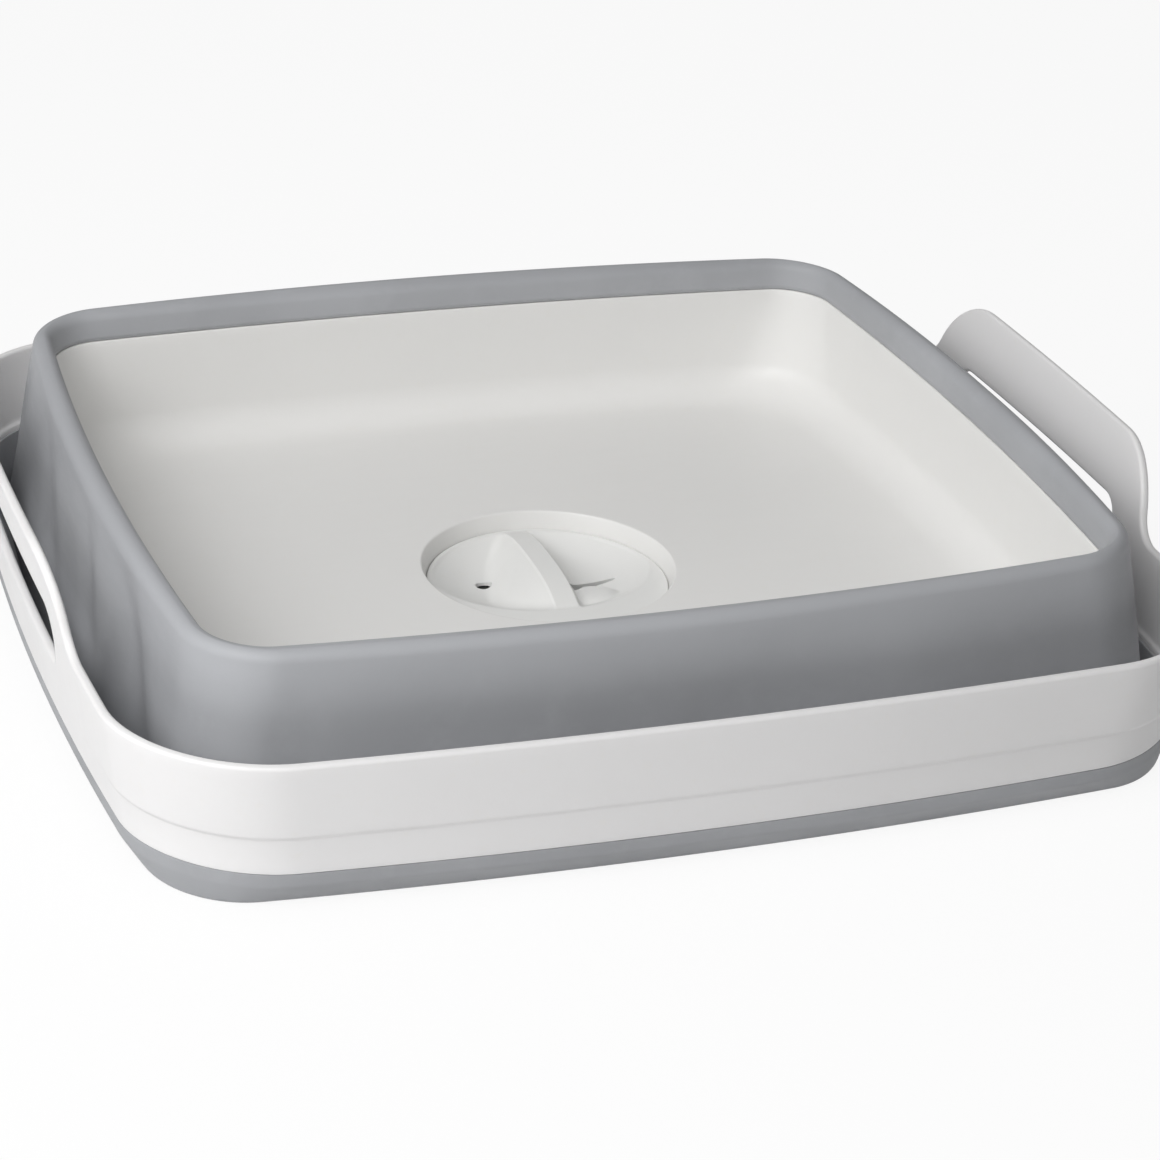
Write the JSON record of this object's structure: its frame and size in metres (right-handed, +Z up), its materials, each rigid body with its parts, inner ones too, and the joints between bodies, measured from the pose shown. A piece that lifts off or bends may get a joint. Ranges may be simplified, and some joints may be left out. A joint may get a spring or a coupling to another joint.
{
  "type": "collapsible washbasin",
  "caption": "Collapsible camp washbasin, folded flat: stiff rim with handles, soft fold-through wall, stiff tray and a twist drain plug.",
  "frame": {"origin": "on the surface that the folded basin stands on, under the middle of its bounding box", "axes": "+X towards one handle, along the longest extent; +Z up, along the shortest extent"},
  "size_m": [0.3802, 0.3404, 0.0768],
  "materials": {
    "rim_plastic": "satin moulded white",
    "tray_plastic": "fine matt moulded white",
    "plug_plastic": "satin moulded white",
    "wall_rubber": "smooth matt grey elastomer",
    "seal_rubber": "smooth grey elastomer",
    "shoe_rubber": "smooth grey elastomer"
  },
  "bodies": {
    "rim": {"rim_frame": "rim_plastic", "wall_outer_band": "wall_rubber", "wall_panel": "wall_rubber"},
    "tray": {"wall_inner_band": "wall_rubber", "base_tray": "tray_plastic", "foot_ring": "tray_plastic", "plug_seal": "seal_rubber", "foot_shoe_1": "shoe_rubber", "foot_shoe_2": "shoe_rubber", "foot_shoe_3": "shoe_rubber", "foot_shoe_4": "shoe_rubber"},
    "plug": {"drain_plug": "plug_plastic", "stem_clip": "plug_plastic"}
  },
  "joints": [
    {"name": "tray_slide", "type": "slide", "parent": "rim", "child": "tray", "axis": [0, 0, -1], "range_m": [0, 0.15], "deforming": ["wall_panel"]},
    {"name": "plug_twist", "type": "hinge", "parent": "tray", "child": "plug", "pos_m": [0, 0, 0.0082], "axis": [0, 0, 1], "range_deg": [0, 90]}
  ]
}
